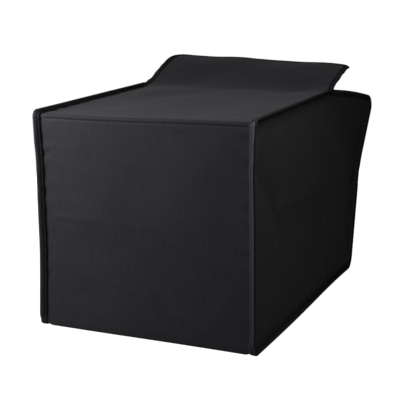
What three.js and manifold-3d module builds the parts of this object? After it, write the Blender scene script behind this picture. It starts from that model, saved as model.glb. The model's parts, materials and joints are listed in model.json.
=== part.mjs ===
// A soft enclosure tent for a desktop printer: one long strip of coated cloth makes the floor, the
// closed end wall, the roof and the roof flap, two side panels are sewn to it, and a folded tape
// binds every seam and every free edge. The rear end is the open mouth. Two slits at its upper
// corners free the roof flap and the upper rear corner of each side panel, its corner flap.
//
// Millimetres, +Z up. The strip and the seams are drawn with the end wall at y = 0, the mouth
// towards +Y and the ground at z = 0, and the whole group is then centred over its footprint.
import * as THREE from "three";
import { mergeVertices } from "three/addons/utils/BufferGeometryUtils.js";
import Module from "manifold-3d";

const wasm = await Module();
wasm.setup();

// Driving dimensions, between seam lines.
const WIDTH = 284;
const DEPTH = 455;
const HEIGHT = 280;
const ROOF_RISE = 12; // the roof climbs this much towards its flap
const CLOTH = 1.0; // coated woven cloth
const TAPE = 0.7; // binding tape, one layer
const GAP = 0.3; // between pieces that lie on each other
const FLANGE = 10; // how far a bound seam stands out
const SEAM_LEAN = Math.PI / 4; // a flange halves the angle between its two panels
const FOLD_R = 4; // radius of the strip's two folds
const SLIT_Y = 280; // where the roof seams end and the slits begin
const LAY_OUT_FROM = 38; // height at which the upright flanges start to turn flat
const FREE_CORNER_R = 22; // rounding of the corners of free edges
const FLAP_LENGTH = 137;
const FLAP_HALF = WIDTH / 2 + 3; // the flap's edges reach a little past the side panels
const FLAP_RISE = THREE.MathUtils.degToRad(16); // how far the flap stands open
const FLAP_NECK = 14; // the flap is narrower beside the ends of the roof seams
const CORNER_FLARE = THREE.MathUtils.degToRad(15); // how far a corner flap leans outwards
const CORNER_DROP = THREE.MathUtils.degToRad(4); // fall of a corner flap's top edge to the mouth
const CORNER_LOW = 3; // and how far that edge starts below the roof
const CORNER_START = 9; // a corner flap's cloth starts this far down its bend line
const TAPE_PARTING = 3; // tapes on both sides of that line stay this far from it
const CREASE_Z = 152; // height of the packing crease across a side panel
const CREASE_Y = 100; // where that crease forks to the two front corners
const CREASE_DEPTH = 6; // how far the fork is pressed in
const HINGE_ROOM = 1.3; // cloth left out on each side of a bend line
const PANEL_INSET = 2; // a side panel's plate ends this far inside its seam lines
const FLAP_BOW = 1.5; // sag of the flap's middle under the line from its bend to its free edge
const FLAP_ROWS = [40, 66, 92]; // distances from its bend where the flap's sag is followed
const LAY_OUT_STEPS = 12;

// What follows from them.
const HALF = WIDTH / 2;
const LAYER = (GAP + CLOTH) / 2; // a layer's middle, from the middle of a two layer seam
const SEAM_TAPE = LAYER + CLOTH / 2 + GAP + TAPE / 2; // a tape leg's middle, on two layers
const EDGE_TAPE = CLOTH / 2 + GAP + TAPE / 2; // the same, on one layer
const GROUND_SEAM = SEAM_TAPE + TAPE / 2; // height of the floor seams' middle
const TAPE_TURN = 0.8; // the fold of a tape rounds off over this much
const LIP = FLANGE - TAPE - TAPE_TURN; // how far cloth reaches into a seam's tape
const TAPE_FROM = 1.5; // a seam tape starts this far out from the seam line
const CLOTH_EDGE = TAPE + GAP; // how far cloth stops short of a bound edge
const FLOOR_STEP = 2; // the floor steps up into its binding over this width
const FLOOR_SEAM_END = DEPTH - FREE_CORNER_R - 2; // just before the rounded lower corner
const FLOOR_TAIL_HALF = HALF - 6; // the floor is narrower behind its seams
const TAIL_OVERLAP = 20; // and its tail reaches this far in between them
const FLAP_NECK_HALF = HALF - 1.5; // half the flap's width beside the ends of the roof seams
const SLIT_Z = HEIGHT + ROOF_RISE;
const ROOF_SLOPE = ROOF_RISE / (SLIT_Y - FOLD_R);
const FLOOR_Z = CLOTH / 2; // the floor lies on the ground between its bound edges

const cloth = new THREE.MeshStandardMaterial({ color: 0x242428, roughness: 0.82, metalness: 0 });
const tape = new THREE.MeshStandardMaterial({ color: 0x1c1c1e, roughness: 0.7, metalness: 0 });

const tent = new THREE.Group();
const vec = (x, y, z) => new THREE.Vector3(x, y, z);
const lerp = THREE.MathUtils.lerp;

// ---- operations -------------------------------------------------------------------------------

// A polyline in the plane given a thickness, as one closed ring of points with mitred corners.
function ribbon(points, thickness) {
  const normals = points.map((p, i) => {
    const before = points[Math.max(i - 1, 0)];
    const after = points[Math.min(i + 1, points.length - 1)];
    const into = i ? p.clone().sub(before).normalize() : after.clone().sub(p).normalize();
    const out = i < points.length - 1 ? after.clone().sub(p).normalize() : into;
    const n = vec(-into.y - out.y, into.x + out.x, 0).normalize();
    return { x: n.x, y: n.y, reach: thickness / 2 / Math.max(n.x * -into.y + n.y * into.x, 0.5) };
  });
  const side = (sign) =>
    points.map(
      (p, i) =>
        new THREE.Vector2(
          p.x + sign * normals[i].x * normals[i].reach,
          p.y + sign * normals[i].y * normals[i].reach,
        ),
    );
  return [...side(1), ...side(-1).reverse()];
}

// The signed volume of a closed triangle soup, to turn it the right way out.
function volume(positions, index) {
  const at = (i) => new THREE.Vector3().fromArray(positions, 3 * i);
  let sum = 0;
  for (let i = 0; i < index.length; i += 3)
    sum += at(index[i]).dot(at(index[i + 1]).cross(at(index[i + 2])));
  return sum / 6;
}

// A closed geometry from vertices and faces, with its faces pointing out.
function closed(points, faces) {
  const positions = points.flatMap((p) => [p.x, p.y, p.z]);
  const index = faces.flat();
  const turned = volume(positions, index) < 0 ? index.slice().reverse() : index;
  return new THREE.BufferGeometry()
    .setAttribute("position", new THREE.Float32BufferAttribute(positions, 3))
    .setIndex(turned);
}

// A loft through rings of the same number of points, capped at both ends.
function loft(rings, section) {
  const n = rings[0].length;
  const last = (rings.length - 1) * n;
  const caps = THREE.ShapeUtils.triangulateShape(section, []);
  const turn = THREE.ShapeUtils.area(caps[0].map((i) => section[i]));
  if (turn * THREE.ShapeUtils.area(section) < 0) caps.forEach((cap) => cap.reverse());
  const faces = caps.flatMap(([a, b, c]) => [
    [c, b, a],
    [last + a, last + b, last + c],
  ]);
  for (let k = 0; k + 1 < rings.length; k++)
    for (let i = 0; i < n; i++) {
      const j = (i + 1) % n;
      const [a, b, c, d] = [k * n + i, k * n + j, (k + 1) * n + j, (k + 1) * n + i];
      faces.push([a, b, c], [a, c, d]);
    }
  return closed(rings.flat(), faces);
}

const solidOf = (geometry) => {
  const bare = geometry.clone();
  bare.deleteAttribute("normal");
  bare.deleteAttribute("uv");
  const merged = mergeVertices(bare);
  return new wasm.Manifold(
    new wasm.Mesh({
      numProp: 3,
      vertProperties: merged.attributes.position.array,
      triVerts: new Uint32Array(merged.index.array),
    }),
  );
};

// Pieces cut or sewn as one, joined into one solid.
function join(...geometries) {
  const mesh = geometries.map(solidOf).reduce((a, b) => a.add(b)).getMesh();
  return new THREE.BufferGeometry()
    .setAttribute("position", new THREE.Float32BufferAttribute(mesh.vertProperties, 3))
    .setIndex(new THREE.BufferAttribute(mesh.triVerts, 1));
}

function piece(name, geometry, material, parent = tent) {
  const mesh = new THREE.Mesh(geometry, material);
  mesh.name = name;
  parent.add(mesh);
  return mesh;
}

// ---- the seam line ----------------------------------------------------------------------------

// A station of the seam line of a side: where it is in the side's plane, which way is out of the
// tent there, and how the flange leans: 45 degrees to the panels, but flat on the ground under
// the floor.
const station = (y, z, outward, flat = 0) => ({
  at: vec(0, y, z),
  out: vec(0, -Math.sin(outward), Math.cos(outward)), // 0 is up, a quarter turn is forwards
  lean: lerp(SEAM_LEAN, 0, flat),
  flat,
});

// A quarter turn of the seam line round one of the strip's folds.
function fold(centreY, centreZ, from, flat, steps = 6) {
  return Array.from({ length: steps + 1 }, (_, i) => {
    const turn = from + (i / steps) * QUARTER;
    const y = centreY - FOLD_R * Math.sin(turn);
    return station(y, centreZ + FOLD_R * Math.cos(turn), turn, flat);
  });
}

const QUARTER = Math.PI / 2;
const UP = 0;
const FORWARDS = QUARTER;
const DOWN = Math.PI;
const topFold = fold(FOLD_R, HEIGHT - FOLD_R, UP, 0);
const bottomFold = fold(FOLD_R, GROUND_SEAM + FOLD_R, FORWARDS, 1);
const onRoof = (y) => station(y, HEIGHT + ROOF_SLOPE * (y - FOLD_R), UP);
const onWall = (z, flat) => station(0, z, FORWARDS, flat);
const onFloor = (y) => station(y, GROUND_SEAM, DOWN, 1);

// Down the end wall, the flanges lay themselves out sideways over the last few centimetres.
const wallFoot = GROUND_SEAM + FOLD_R + GAP;
const layOut = Array.from({ length: LAY_OUT_STEPS + 1 }, (_, i) => {
  const flat = i / LAY_OUT_STEPS;
  return onWall(lerp(LAY_OUT_FROM, wallFoot, flat), flat);
});
const downWall = [onWall(HEIGHT - FOLD_R - GAP, 0), ...layOut];

// The point a along a station's flange and b across it, b towards the strip, for side +1 or -1.
function inFlange(s, side, a, b) {
  const x = HALF + a * Math.cos(s.lean) - b * Math.sin(s.lean);
  const h = a * Math.sin(s.lean) + b * Math.cos(s.lean);
  return s.at.clone().addScaledVector(s.out, h).setX(side * x);
}

// ---- the strip: floor, end wall and roof --------------------------------------------------------

// The strip's section at a station, from flange to flange. The floor dips between its flanges
// until it lies on the ground.
function stripSection(s) {
  const bend = lerp(-LAYER, -FLOOR_STEP, s.flat);
  const point = (a) =>
    new THREE.Vector2(
      HALF + a * Math.cos(s.lean) - LAYER * Math.sin(s.lean),
      a * Math.sin(s.lean) + LAYER * Math.cos(s.lean),
    );
  const dip = new THREE.Vector2(HALF - 2 * FLOOR_STEP, lerp(0, GROUND_SEAM - FLOOR_Z, s.flat));
  const right = [dip, point(bend), point(LIP)];
  const left = right.map((p) => new THREE.Vector2(-p.x, p.y)).reverse();
  return ribbon([...left, ...right], CLOTH);
}

function strip(stations) {
  const rings = stations.map((s) =>
    stripSection(s).map((p) => s.at.clone().addScaledVector(s.out, p.y).setX(p.x)),
  );
  return loft(rings, stripSection(stations[0]));
}

piece("roof_panel", strip([onRoof(SLIT_Y - HINGE_ROOM), ...topFold]), cloth);
piece("front_wall", strip(downWall), cloth);

// Behind its seams the floor runs on to the mouth as a plain tail, and steps up into its tape.
const tailStart = FLOOR_SEAM_END - TAIL_OVERLAP;
const tailEdgeZ = TAPE + GAP + FLOOR_Z;
const tailProfile = ribbon(
  [
    new THREE.Vector2(tailStart, FLOOR_Z),
    new THREE.Vector2(DEPTH - FLANGE - 2 * FLOOR_STEP, FLOOR_Z),
    new THREE.Vector2(DEPTH - FLANGE - FLOOR_STEP, tailEdgeZ),
    new THREE.Vector2(DEPTH - CLOTH_EDGE, tailEdgeZ),
  ],
  CLOTH,
);
const floorTail = loft(
  [-1, 1].map((sign) => tailProfile.map((p) => vec(sign * FLOOR_TAIL_HALF, p.x, p.y))),
  tailProfile,
);
piece("floor_panel", join(strip([...bottomFold, onFloor(FLOOR_SEAM_END)]), floorTail), cloth);

// ---- side panels --------------------------------------------------------------------------------

// The lip of a side panel inside the bound seam, from a little inside the panel's edge.
function sideLip(stations, side) {
  const section = (s) => {
    const bend = lerp(-LAYER, 0, s.flat);
    const inLip = (a) => [
      a * Math.sin(s.lean) - LAYER * Math.cos(s.lean),
      HALF + a * Math.cos(s.lean) + LAYER * Math.sin(s.lean),
    ];
    const points = [[-PANEL_INSET - 1, HALF], inLip(bend), inLip(LIP)];
    return ribbon(
      points.map(([h, x]) => new THREE.Vector2(h, x)),
      CLOTH,
    );
  };
  const rings = stations.map((s) =>
    section(s).map((p) => s.at.clone().addScaledVector(s.out, p.x).setX(side * p.y)),
  );
  return loft(rings, section(stations[0]));
}

// A plate along an outline in the side's plane, pressed in at one point so that it creases from
// there to its corners. The outline's x and y are the tent's y and z.
function creasedPlate(outline, centre, pressed, side) {
  const n = outline.length;
  const layer = (x) => [
    ...outline.map((p) => vec(side * x, p.x, p.y)),
    vec(side * (x - pressed), centre.x, centre.y),
  ];
  const faces = [];
  for (let i = 0; i < n; i++) {
    const j = (i + 1) % n;
    faces.push([i, j, n], [n + 1 + j, n + 1 + i, 2 * n + 1]);
    faces.push([j, i, n + 1 + i], [j, n + 1 + i, n + 1 + j]);
  }
  return closed([...layer(HALF + CLOTH / 2), ...layer(HALF - CLOTH / 2)], faces);
}

const SLIT_END = new THREE.Vector2(SLIT_Y, SLIT_Z);
const MOUTH_MIDDLE = new THREE.Vector2(DEPTH, CREASE_Z);
const bendLine = MOUTH_MIDDLE.clone().sub(SLIT_END).normalize(); // between panel and corner flap
const bendNormal = new THREE.Vector2(-bendLine.y, bendLine.x); // towards the corner flap

// The point at a depth on the bend line moved sideways by offset.
function bendAt(y, offset) {
  const from = SLIT_END.clone().addScaledVector(bendNormal, offset);
  return from.addScaledVector(bendLine, (y - from.x) / bendLine.x);
}

// A side panel without its corner flap: rounded where it meets the strip's folds and at the
// lower rear.
function sideOutline() {
  const path = new THREE.Path();
  const [front, rear] = [PANEL_INSET, DEPTH - CLOTH_EDGE];
  const [bottom, top] = [GROUND_SEAM + PANEL_INSET, HEIGHT - PANEL_INSET];
  const [small, large] = [FOLD_R - PANEL_INSET, FREE_CORNER_R - CLOTH_EDGE];
  path.absarc(front + small, top - small, small, Math.PI, Math.PI / 2, true);
  const slit = bendAt(SLIT_Y - HINGE_ROOM, -HINGE_ROOM);
  const mouth = bendAt(rear, -HINGE_ROOM);
  path.lineTo(slit.x, slit.y - PANEL_INSET);
  path.lineTo(mouth.x, mouth.y);
  path.absarc(rear - large, bottom + large, large, 0, -Math.PI / 2, true);
  path.absarc(front + small, bottom + small, small, -Math.PI / 2, -Math.PI, true);
  return dropRepeats(path.getPoints(6));
}

// A corner flap's top edge falls to its rounded corner.
const cornerTopZ = SLIT_Z - CORNER_LOW - Math.tan(CORNER_DROP) * (DEPTH - SLIT_Y);
const cornerCentre = new THREE.Vector2(
  DEPTH - FREE_CORNER_R,
  cornerTopZ - FREE_CORNER_R * (1 / Math.cos(CORNER_DROP) - Math.tan(CORNER_DROP)),
);

// The outline of a corner flap's cloth: from the slit round its corner and down the mouth edge.
function cornerOutline() {
  const arc = new THREE.Path();
  const start = SLIT_END.clone()
    .addScaledVector(bendLine, CORNER_START)
    .addScaledVector(bendNormal, HINGE_ROOM);
  const mouth = bendAt(DEPTH - CLOTH_EDGE, HINGE_ROOM);
  const r = FREE_CORNER_R - CLOTH_EDGE;
  arc.absarc(cornerCentre.x, cornerCentre.y, r, Math.PI / 2 - CORNER_DROP, 0, true);
  return [start, ...arc.getPoints(6), mouth];
}

function dropRepeats(points) {
  return points.filter((p, i) => p.distanceTo(points[(i + 1) % points.length]) > 1e-6);
}

// ---- binding tape -------------------------------------------------------------------------------

// The folded tape's section: two legs and a rounded fold, open towards the cloth. leg is the
// distance of a leg's middle from the middle of what it binds.
function tapeSection(leg, from, to) {
  const crown = to - TAPE / 2;
  const half = [
    [from, leg],
    [crown - TAPE_TURN, leg],
    [crown, leg / 2],
  ];
  const mirrored = half.map(([a, b]) => [a, -b]).reverse();
  return ribbon(
    [...half, ...mirrored].map(([a, b]) => new THREE.Vector2(a, b)),
    TAPE,
  );
}

function seamTape(stations, side) {
  const section = tapeSection(SEAM_TAPE, TAPE_FROM, FLANGE);
  const rings = stations.map((s) => section.map((p) => inFlange(s, side, p.x, p.y)));
  return loft(rings, section);
}

// Tape round a free edge: path points with the direction out of the cloth, and a map from the
// cloth's plane, with a height above it, into the tent.
function edgeTape(path, place) {
  const section = tapeSection(EDGE_TAPE, -FLANGE, 0);
  const rings = path.map(({ at, out }) =>
    section.map((p) => place(at.x + out.x * p.x, at.y + out.y * p.x, p.y)),
  );
  return loft(rings, section);
}

// Path points along a straight edge, and round a free corner. They are on the bound edge itself.
const direction = (angle) => new THREE.Vector2(Math.cos(angle), Math.sin(angle));
const edge = (x, y, angle) => ({ at: new THREE.Vector2(x, y), out: direction(angle) });
function corner(x, y, from, to, steps = 8) {
  return Array.from({ length: steps + 1 }, (_, i) => {
    const out = direction(lerp(from, to, i / steps));
    return { at: new THREE.Vector2(x, y).addScaledVector(out, FREE_CORNER_R), out };
  });
}

// ---- both sides ---------------------------------------------------------------------------------

const tapeBottom = GROUND_SEAM + PANEL_INSET - CLOTH_EDGE;
for (const [hand, side] of [
  ["left", -1],
  ["right", 1],
]) {
  const roofSeamEnd = onRoof(SLIT_Y - 2 * HINGE_ROOM - PANEL_INSET);
  const lip = sideLip(
    [roofSeamEnd, ...topFold, ...downWall, ...bottomFold, onFloor(FLOOR_SEAM_END)],
    side,
  );
  const centre = new THREE.Vector2(CREASE_Y, CREASE_Z);
  const plate = creasedPlate(sideOutline(), centre, CREASE_DEPTH, side);
  piece(hand + "_side_panel", join(plate, lip), cloth);

  piece(
    hand + "_roof_binding",
    seamTape([onRoof(SLIT_Y - HINGE_ROOM), onRoof(FOLD_R + GAP)], side),
    tape,
  );
  piece(hand + "_front_binding", seamTape([...topFold, ...downWall, ...bottomFold], side), tape);
  piece(
    hand + "_floor_binding",
    seamTape([onFloor(FOLD_R + GAP), onFloor(FLOOR_SEAM_END)], side),
    tape,
  );

  const upright = (y, z, h) => vec(side * (HALF + h), y, z);
  const lowerCorner = corner(DEPTH - FREE_CORNER_R, tapeBottom + FREE_CORNER_R, 0, -QUARTER);
  piece(
    hand + "_mouth_binding",
    edgeTape([edge(DEPTH, bendAt(DEPTH, -TAPE_PARTING).y, 0), ...lowerCorner], upright),
    tape,
  );

  // The corner flap turns about the bend line, from the slit's end to the mouth edge.
  const cornerFlap = new THREE.Group();
  cornerFlap.position.set(side * HALF, SLIT_END.x, SLIT_END.y);
  cornerFlap.quaternion.setFromAxisAngle(vec(0, bendLine.x, bendLine.y), side * CORNER_FLARE);
  tent.add(cornerFlap);
  const inFlap = (geometry) => geometry.translate(-side * HALF, -SLIT_END.x, -SLIT_END.y);
  const plateOfFlap = creasedPlate(cornerOutline(), cornerCentre, 0, side);
  piece(hand + "_corner_flap", inFlap(plateOfFlap), cloth, cornerFlap);
  const upperCorner = corner(cornerCentre.x, cornerCentre.y, QUARTER - CORNER_DROP, 0);
  const topEdge = upperCorner[0];
  const topStart = topEdge.at.clone();
  const topRun = (topStart.x - SLIT_Y - FLAP_NECK - FLANGE) / Math.cos(CORNER_DROP);
  topStart.addScaledVector(new THREE.Vector2(-Math.cos(CORNER_DROP), Math.sin(CORNER_DROP)), topRun);
  const flapTape = [
    { at: topStart, out: topEdge.out },
    ...upperCorner,
    edge(DEPTH, bendAt(DEPTH - FLANGE, TAPE_PARTING).y, 0),
  ];
  piece(hand + "_corner_flap_binding", inFlap(edgeTape(flapTape, upright)), tape, cornerFlap);
}

// The floor's edge at the mouth.
piece(
  "floor_mouth_binding",
  edgeTape(
    [edge(-FLOOR_TAIL_HALF + 1, DEPTH, QUARTER), edge(FLOOR_TAIL_HALF - 1, DEPTH, QUARTER)],
    (x, y, h) => vec(x, y, tailEdgeZ + h),
  ),
  tape,
);

// ---- roof flap ----------------------------------------------------------------------------------

// The flap lies in the roof's plane at first, with its bend line at the group's origin, and bows
// upwards a little. It then turns to the angle it stands at.
const flap = new THREE.Group();
flap.position.set(0, SLIT_Y, SLIT_Z);
flap.rotation.x = FLAP_RISE;
tent.add(flap);

const bowed = (x, y, h) => {
  const t = y / FLAP_LENGTH;
  return vec(x, y, h - 4 * FLAP_BOW * t * (1 - t));
};

// Half the flap's width at a distance from its bend: a neck, then straight, then round corners.
function flapHalf(y, edgeInset) {
  const half = FLAP_HALF - edgeInset;
  const r = FREE_CORNER_R - edgeInset;
  const past = Math.max(0, y - (FLAP_LENGTH - FREE_CORNER_R));
  const straight = y < FLAP_NECK ? FLAP_NECK_HALF : half;
  return past > 0 ? half - r + Math.sqrt(Math.max(0, r * r - past * past)) : straight;
}

function flapCloth() {
  const end = FLAP_LENGTH - CLOTH_EDGE;
  const cornerStart = FLAP_LENGTH - FREE_CORNER_R;
  const straight = [HINGE_ROOM, FLAP_NECK - 0.01, FLAP_NECK, ...FLAP_ROWS, cornerStart];
  const round = [0.35, 0.6, 0.8, 0.92, 0.985, 1].map((k) => lerp(cornerStart, end, k));
  const rings = [...straight, ...round].map((y) => {
    const half = flapHalf(y, CLOTH_EDGE);
    const ring = [
      [-half, -CLOTH / 2],
      [half, -CLOTH / 2],
      [half, CLOTH / 2],
      [-half, CLOTH / 2],
    ];
    return ring.map(([x, h]) => bowed(x, y, h));
  });
  const section = [vec(-1, -1, 0), vec(1, -1, 0), vec(1, 1, 0), vec(-1, 1, 0)];
  return loft(rings, section);
}

const straightEdge = [FLAP_NECK + 1, ...FLAP_ROWS];
const sideEdge = (sign) => straightEdge.map((y) => edge(sign * FLAP_HALF, y, sign > 0 ? 0 : Math.PI));
const flapPath = [
  ...sideEdge(1),
  ...corner(FLAP_HALF - FREE_CORNER_R, FLAP_LENGTH - FREE_CORNER_R, 0, QUARTER),
  ...corner(-FLAP_HALF + FREE_CORNER_R, FLAP_LENGTH - FREE_CORNER_R, QUARTER, Math.PI),
  ...sideEdge(-1).reverse(),
];
piece("roof_flap", flapCloth(), cloth, flap);
piece("flap_binding", edgeTape(flapPath, bowed), tape, flap);

// ---- origin -------------------------------------------------------------------------------------

// The origin is at the middle of the footprint, on the ground.
const box = new THREE.Box3().setFromObject(tent, true);
const middle = box.getCenter(new THREE.Vector3());
tent.position.set(-middle.x, -middle.y, -box.min.z);

export default tent;
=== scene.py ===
import json
import math

import bmesh
import bpy
from mathutils import Matrix, Vector, noise


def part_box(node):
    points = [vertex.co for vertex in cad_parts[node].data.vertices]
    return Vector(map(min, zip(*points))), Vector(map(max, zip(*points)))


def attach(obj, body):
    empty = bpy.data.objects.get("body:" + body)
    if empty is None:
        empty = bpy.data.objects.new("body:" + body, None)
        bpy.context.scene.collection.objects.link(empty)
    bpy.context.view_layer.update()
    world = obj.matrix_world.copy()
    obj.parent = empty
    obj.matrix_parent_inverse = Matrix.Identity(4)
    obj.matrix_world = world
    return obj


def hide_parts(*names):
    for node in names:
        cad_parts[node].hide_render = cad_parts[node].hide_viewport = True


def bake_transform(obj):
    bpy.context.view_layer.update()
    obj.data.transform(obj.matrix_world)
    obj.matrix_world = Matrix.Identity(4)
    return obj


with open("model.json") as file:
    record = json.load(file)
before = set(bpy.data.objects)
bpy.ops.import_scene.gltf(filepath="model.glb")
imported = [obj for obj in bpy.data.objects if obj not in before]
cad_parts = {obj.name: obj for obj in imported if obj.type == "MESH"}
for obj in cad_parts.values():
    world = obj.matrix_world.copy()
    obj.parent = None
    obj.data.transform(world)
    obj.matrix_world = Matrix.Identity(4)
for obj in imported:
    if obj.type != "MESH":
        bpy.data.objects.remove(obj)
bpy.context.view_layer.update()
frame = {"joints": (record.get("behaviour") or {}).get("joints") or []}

bl_info = {
    "name": "Printer Enclosure Tent",
    "version": (1, 0, 0),
    "blender": (4, 5, 0),
    "location": "View3D > Sidebar > Tent",
    "description": "Sews the cloth, bindings and stitching of a soft printer tent onto its frame",
    "category": "Mesh",
}

# ---- places taken from the frame, in metres ------------------------------------------------------

JOINTS = {joint["name"]: joint for joint in frame["joints"]}
SLIT = Vector(JOINTS["roof_flap_lift"]["pos_m"])  # on the bend between roof and flap
HALF = JOINTS["right_corner_swing"]["pos_m"][0]  # from the middle to a side panel
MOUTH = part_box("floor_mouth_binding")[1].y

MM = 0.001
ROOF_SEAM = 280 * MM  # from the end wall to the slits
ROOF_RISE = 12 * MM
FRONT = SLIT.y - ROOF_SEAM
HEIGHT = SLIT.z - ROOF_RISE
DEPTH = MOUTH - FRONT
FOLD_R = 4 * MM
FLOOR_SEAM = 2.15 * MM  # height of the middle of the floor's seams at the end wall
TAPE_W = 10 * MM
STITCH_ROW = 3.4 * MM  # from the tape's inner edge line to its stitches
FREE_R = 22 * MM  # rounding of the free corners
FLOOR_SEAM_END = DEPTH - FREE_R - 2 * MM
FLAP_LENGTH = 137 * MM
FLAP_HALF = 146.5 * MM
LIP = 8.6 * MM  # cloth outside a seam line
LEAN = {-1: math.radians(32), 1: math.radians(38)}  # of the left and right upright flanges
ROOF_LEAN = math.radians(26)
FOOT_LEAN = math.radians(62)  # of the floor's flanges, at the rear
LAY_OUT = 12 * MM  # the flanges turn flat over this height above the floor
SLIT_TURN = 46 * MM  # and free edges turn into their panel's plane over this length
PACKED_AT = 140 * MM  # up the end wall, where it was folded for packing
PLY_GAP = 0.15 * MM  # air between two layers of cloth sewn together

SIDES = (("left", -1), ("right", 1))


def lerp(a, b, t):
    return a + (b - a) * t


def smooth(t):
    t = min(1.0, max(0.0, t))
    return t * t * (3 - 2 * t)


def hump(distance, width):
    """A smooth bump, 1 at no distance and close to 0 at twice its width."""
    return math.exp(-(distance / width) ** 2)


def linear(hex_colour):
    """A linear RGBA colour from an sRGB hex value."""
    channels = [int(hex_colour[i:i + 2], 16) / 255 for i in (1, 3, 5)]
    return [c / 12.92 if c <= 0.04045 else ((c + 0.055) / 1.055) ** 2.4 for c in channels] + [1.0]


# ---- settings ------------------------------------------------------------------------------------


class TentSizes(bpy.types.PropertyGroup):
    cloth: bpy.props.FloatProperty(
        name="Cloth", description="Thickness of the coated cloth",
        default=0.6 * MM, min=0.2 * MM, max=2 * MM, subtype="DISTANCE", unit="LENGTH", precision=5,
    )
    tape: bpy.props.FloatProperty(
        name="Tape", description="Thickness of one layer of binding tape",
        default=0.5 * MM, min=0.2 * MM, max=2 * MM, subtype="DISTANCE", unit="LENGTH", precision=5,
    )
    slack: bpy.props.FloatProperty(
        name="Slack", description="Height of the soft waves that packing leaves in the panels",
        default=2.2 * MM, min=0, max=6 * MM, subtype="DISTANCE", unit="LENGTH", precision=5,
    )
    pucker: bpy.props.FloatProperty(
        name="Pucker", description="Height of the small gathers beside a seam",
        default=0.55 * MM, min=0, max=2 * MM, subtype="DISTANCE", unit="LENGTH", precision=5,
    )
    crisp: bpy.props.FloatProperty(
        name="Crisp", description="How far the fold between end wall and roof is pinched out",
        default=0.9 * MM, min=0, max=3 * MM, subtype="DISTANCE", unit="LENGTH", precision=5,
    )
    stitch: bpy.props.FloatProperty(
        name="Stitch", description="Distance from one stitch to the next",
        default=3.4 * MM, min=2 * MM, max=8 * MM, subtype="DISTANCE", unit="LENGTH", precision=5,
    )
    flap_lift: bpy.props.FloatProperty(
        name="Flap lift", description="Steepest slope of the roof flap above the roof's own",
        default=math.radians(20), min=0, max=math.radians(45), subtype="ANGLE", unit="ROTATION",
    )


class TentColours(bpy.types.PropertyGroup):
    cloth: bpy.props.FloatVectorProperty(
        name="Cloth", description="Colour of the coated cloth",
        default=linear("#272729"), size=4, min=0, max=1, subtype="COLOR",
    )
    tape: bpy.props.FloatVectorProperty(
        name="Tape", description="Colour of the binding tape",
        default=linear("#2e2e30"), size=4, min=0, max=1, subtype="COLOR",
    )
    # Drawn darker than the tape: partly the thread's own black, partly painted shade of the dents
    # that the stitches sink into.
    thread: bpy.props.FloatVectorProperty(
        name="Thread", description="Colour of the sewing thread",
        default=linear("#121213"), size=4, min=0, max=1, subtype="COLOR",
    )


# ---- materials -----------------------------------------------------------------------------------

WAVE = 0.314  # a wave texture's scale for bands one metre apart


def add(tree, kind, links=None, **settings):
    """A node with its settings, and links given as {input: socket or value}."""
    node = tree.nodes.new(kind)
    for name, value in settings.items():
        setattr(node, name, value)
    for name, value in (links or {}).items():
        if isinstance(value, bpy.types.NodeSocket):
            tree.links.new(value, node.inputs[name])
        else:
            node.inputs[name].default_value = value
    return node


def start_material(name):
    made = bpy.data.materials.new(name)
    made.use_nodes = True
    made.node_tree.nodes.clear()
    return made, made.node_tree


def finish_material(tree, shader):
    add(tree, "ShaderNodeOutputMaterial", {"Surface": shader.outputs["BSDF"]})


def times(tree, first, *others):
    """The product of several sockets or values."""
    product = first
    for other in others:
        product = add(tree, "ShaderNodeMath", {0: product, 1: other}, operation="MULTIPLY")
        product = product.outputs[0]
    return product


def ranged(tree, value, start, end, low, high):
    """A socket's value taken from one range, start to end, to another, low to high."""
    return add(tree, "ShaderNodeMapRange", {
        "Value": value, "From Min": start, "From Max": end, "To Min": low, "To Max": high,
    }).outputs["Result"]


def shaded_colour(tree, colour, tone):
    """A colour made darker or lighter by a socket's value."""
    return add(tree, "ShaderNodeVectorMath", {0: colour[:3], "Scale": tone},
               operation="SCALE").outputs["Vector"]


def thread_waves(tree, flat, pitch):
    """Plain weave: rounded threads both ways, each over and under the other by turns."""
    across, along = (
        add(tree, "ShaderNodeTexWave", {"Vector": flat, "Scale": WAVE / pitch},
            wave_type="BANDS", bands_direction=way, wave_profile="SIN")
        for way in "XY"
    )
    over = add(tree, "ShaderNodeTexChecker", {"Vector": flat, "Scale": 1 / pitch})
    return add(tree, "ShaderNodeMix", {
        "Factor": over.outputs["Fac"],
        "A": across.outputs["Fac"],
        "B": along.outputs["Fac"],
    }).outputs["Result"]


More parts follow.
